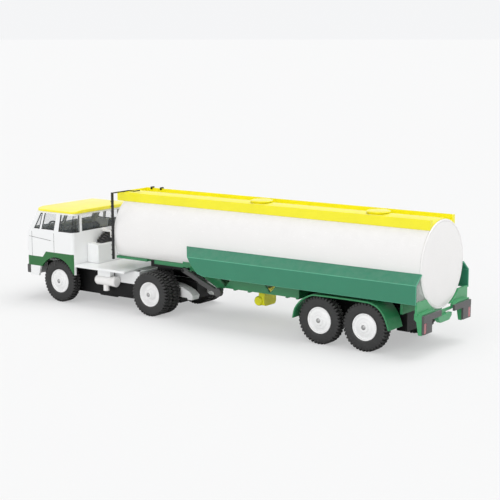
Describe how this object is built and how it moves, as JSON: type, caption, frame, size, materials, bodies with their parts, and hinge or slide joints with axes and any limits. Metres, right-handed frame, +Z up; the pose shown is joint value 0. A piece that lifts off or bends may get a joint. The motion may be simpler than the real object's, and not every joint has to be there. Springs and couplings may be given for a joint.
{
  "type": "scale model tank lorry",
  "caption": "Articulated tank lorry, scale model: cab-over tractor with a fifth wheel and a tandem-axle cylindrical tank semi-trailer with catwalk and side skirts.",
  "frame": {"origin": "on the ground under the middle of the whole vehicle, tractor and trailer in line", "axes": "+X to the front of the tractor, +Y to the vehicle's left, +Z up; the wheels stand on z = 0"},
  "size_m": [0.2672, 0.057, 0.0676],
  "materials": {
    "cab_white": "gloss white enamel, the cab's lower band painted green",
    "signal_yellow": "smooth yellow gloss",
    "clear_pane": "clear moulded window plastic",
    "cabin_grey": "satin moulded plastic",
    "cabin_black": "satin moulded plastic",
    "dark_trim": "satin dark grey",
    "bright_metal": "bright plated",
    "chassis_black": "satin black moulded plastic",
    "plastic_white": "smooth white gloss",
    "tyre_rubber": "soft matt rubber with block tread",
    "rim_white": "smooth white gloss",
    "axle_steel": "drawn wire",
    "ladder_black": "satin black wire-like moulding",
    "frame_green": "smooth moulded green",
    "lens_red": "tinted red",
    "pump_yellow": "moulded yellow"
  },
  "bodies": {
    "tractor": {"cab_shell": "cab_white", "cab_roof": "signal_yellow", "cab_glazing": "clear_pane", "cab_interior": "cabin_grey", "driver_seat": "cabin_grey", "passenger_seat": "cabin_grey", "steering_wheel": "cabin_black", "front_grille": "dark_trim", "headlamps": "bright_metal", "front_bumper": "dark_trim", "tractor_frame": "cab_white", "tractor_base": "chassis_black", "base_rivets": "bright_metal", "side_drum": "plastic_white", "spare_carrier": "cab_white", "spare_rim": "chassis_black", "spare_tyre": "tyre_rubber", "spare_clip": "plastic_white", "fifth_wheel": "chassis_black"},
    "front_wheels": {"front_axle": "axle_steel", "front_rim_left": "rim_white", "front_rim_right": "rim_white", "front_tyre_left": "tyre_rubber", "front_tyre_right": "tyre_rubber"},
    "drive_wheels": {"drive_axle": "axle_steel", "drive_rim_left": "rim_white", "drive_rim_right": "rim_white", "drive_tyre_left_outer": "tyre_rubber", "drive_tyre_left_inner": "tyre_rubber", "drive_tyre_right_inner": "tyre_rubber", "drive_tyre_right_outer": "tyre_rubber"},
    "trailer": {"tank_barrel": "plastic_white", "tank_front_end": "plastic_white", "tank_rear_end": "plastic_white", "catwalk": "signal_yellow", "hatch_lids": "signal_yellow", "front_ladder": "ladder_black", "side_ladder": "ladder_black", "trailer_frame": "frame_green", "skirt_left": "frame_green", "skirt_right": "frame_green", "mudguard_left": "frame_green", "mudguard_right": "frame_green", "rear_apron": "frame_green", "lamp_bar_left": "dark_trim", "lamp_bar_right": "dark_trim", "tail_lenses": "lens_red", "king_pin": "chassis_black", "discharge_pump": "pump_yellow", "trailer_bogie": "chassis_black", "landing_rod": "chassis_black"},
    "trailer_wheels_lead": {"trailer_axle_lead": "axle_steel", "trailer_rims_lead": "rim_white", "trailer_tyres_lead": "tyre_rubber"},
    "trailer_wheels_trail": {"trailer_axle_trail": "axle_steel", "trailer_rims_trail": "rim_white", "trailer_tyres_trail": "tyre_rubber"},
    "landing_gear": {"landing_legs": "chassis_black"}
  },
  "joints": [
    {"name": "front_axle_spin", "type": "hinge", "parent": "tractor", "child": "front_wheels", "pos_m": [0.10735, 0, 0.0125], "axis": [0, 1, 0], "continuous": true},
    {"name": "drive_axle_spin", "type": "hinge", "parent": "tractor", "child": "drive_wheels", "pos_m": [0.03815, 0, 0.0125], "axis": [0, 1, 0], "continuous": true},
    {"name": "articulation", "type": "hinge", "parent": "tractor", "child": "trailer", "pos_m": [0.04255, 0, 0.0268], "axis": [0, 0, 1], "range_deg": [-60, 60]},
    {"name": "lead_axle_spin", "type": "hinge", "parent": "trailer", "child": "trailer_wheels_lead", "pos_m": [-0.07465, 0, 0.0125], "axis": [0, 1, 0], "continuous": true},
    {"name": "trail_axle_spin", "type": "hinge", "parent": "trailer", "child": "trailer_wheels_trail", "pos_m": [-0.10125, 0, 0.0125], "axis": [0, 1, 0], "continuous": true},
    {"name": "landing_gear_swing", "type": "hinge", "parent": "trailer", "child": "landing_gear", "pos_m": [0.01575, 0, 0.0283], "axis": [0, 1, 0], "range_deg": [-68, 0]}
  ]
}
